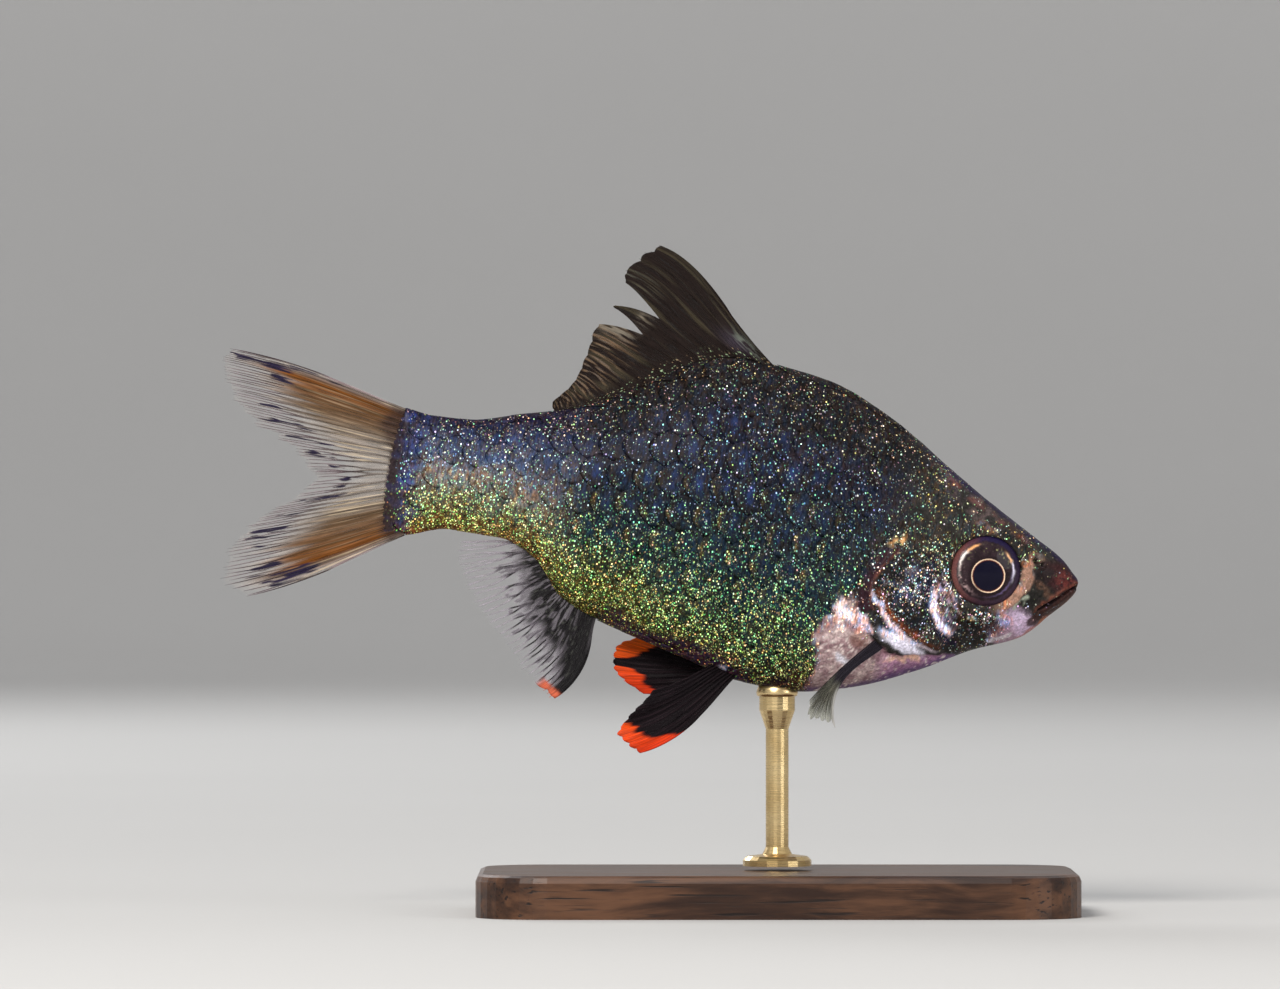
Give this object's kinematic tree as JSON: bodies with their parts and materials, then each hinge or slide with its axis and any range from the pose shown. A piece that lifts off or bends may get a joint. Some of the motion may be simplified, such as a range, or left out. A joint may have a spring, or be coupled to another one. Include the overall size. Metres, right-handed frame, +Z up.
{
  "type": "tiger barb model, moss-green form",
  "caption": "Life-size still model of a moss-green tiger barb swimming nose-down, held over a flat base by a single thin rod.",
  "frame": {"origin": "centre of the underside of the stand's base", "axes": "+X towards the fish's head, +Y towards its left side, +Z up"},
  "size_m": [0.06, 0.026, 0.0467],
  "materials": {
    "flank_scales": "glossy iridescent scales, moss green over near-black, yellower on the belly",
    "head_skin": "smooth moist skin, dark brown above and pink-grey on the throat",
    "gill_cover": "glossy bony plate, black with silver and gold flecks",
    "dark_fin": "thin rayed membrane, black-brown",
    "amber_fin": "thin rayed membrane, orange-brown at its root and clear at its margin",
    "red_tip_fin": "thin rayed membrane, black with orange-red tips",
    "clear_fin": "thin rayed membrane, translucent grey",
    "eye": "clear cornea over a dark iris with a gold ring",
    "stand_wood": "dark-stained, satin-varnished hardwood",
    "stand_metal": "brushed brass"
  },
  "bodies": {
    "root": {"head": "head_skin", "lower_jaw": "head_skin", "gill_cover_right": "gill_cover", "gill_cover_left": "gill_cover", "eye_right": "eye", "eye_left": "eye", "trunk": "flank_scales", "tail_root": "flank_scales", "tail_fin_upper": "amber_fin", "tail_fin_lower": "amber_fin", "dorsal_fin": "dark_fin", "anal_fin": "dark_fin", "pelvic_fin_right": "red_tip_fin", "pelvic_fin_left": "red_tip_fin", "pectoral_fin_right": "clear_fin", "pectoral_fin_left": "clear_fin", "stand_base": "stand_wood", "stand_rod": "stand_metal"}
  },
  "joints": []
}
